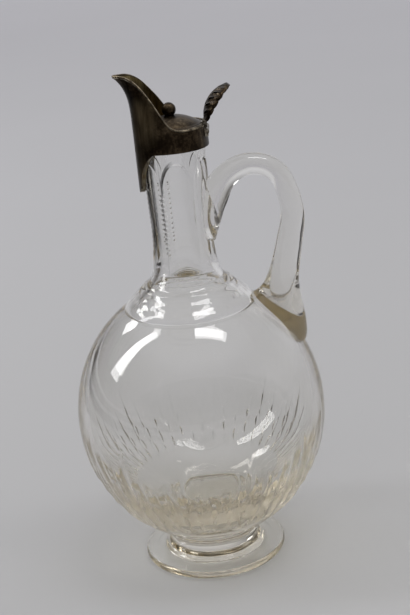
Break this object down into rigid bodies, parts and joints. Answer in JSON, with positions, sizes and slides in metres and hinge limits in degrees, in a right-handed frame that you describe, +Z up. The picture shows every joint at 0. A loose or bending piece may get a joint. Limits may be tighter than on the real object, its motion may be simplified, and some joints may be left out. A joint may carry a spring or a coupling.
{
  "type": "claret jug",
  "caption": "Cut-glass claret jug with a round body on a spreading foot, looped glass handle and a tarnished silver spout mount with hinged domed lid and pierced thumbpiece.",
  "frame": {"origin": "centre of the foot's underside", "axes": "+Z up along the neck, spout along -X, handle along +X"},
  "size_m": [0.14, 0.14, 0.2811],
  "materials": {
    "lead_glass": "clear, polished and cut",
    "tarnished_silver": "dark tarnish with worn bright edges",
    "pin_metal": "dull drawn wire",
    "cement": "matt plaster"
  },
  "bodies": {
    "jug": {"glass_body": "lead_glass", "glass_foot": "lead_glass", "glass_handle": "lead_glass", "cement_bed": "cement", "spout_mount": "tarnished_silver", "rim_wire": "tarnished_silver", "neck_liner": "tarnished_silver", "hinge_bearer": "tarnished_silver", "hinge_knuckle_near": "tarnished_silver", "hinge_knuckle_far": "tarnished_silver", "hinge_pin": "pin_metal"},
    "lid": {"lid_knuckle": "tarnished_silver", "lid_strap": "tarnished_silver", "lid_rim": "tarnished_silver", "lid_dome": "tarnished_silver", "lid_bezel": "tarnished_silver", "finial_ball": "tarnished_silver", "finial_stud": "pin_metal", "finial_nut": "pin_metal", "thumb_stem": "tarnished_silver", "thumb_leaf": "tarnished_silver"}
  },
  "joints": [
    {"name": "lid_hinge", "type": "hinge", "parent": "jug", "child": "lid", "pos_m": [0.0186, 0, 0.2482], "axis": [0, 1, 0], "range_deg": [0, 80]}
  ]
}
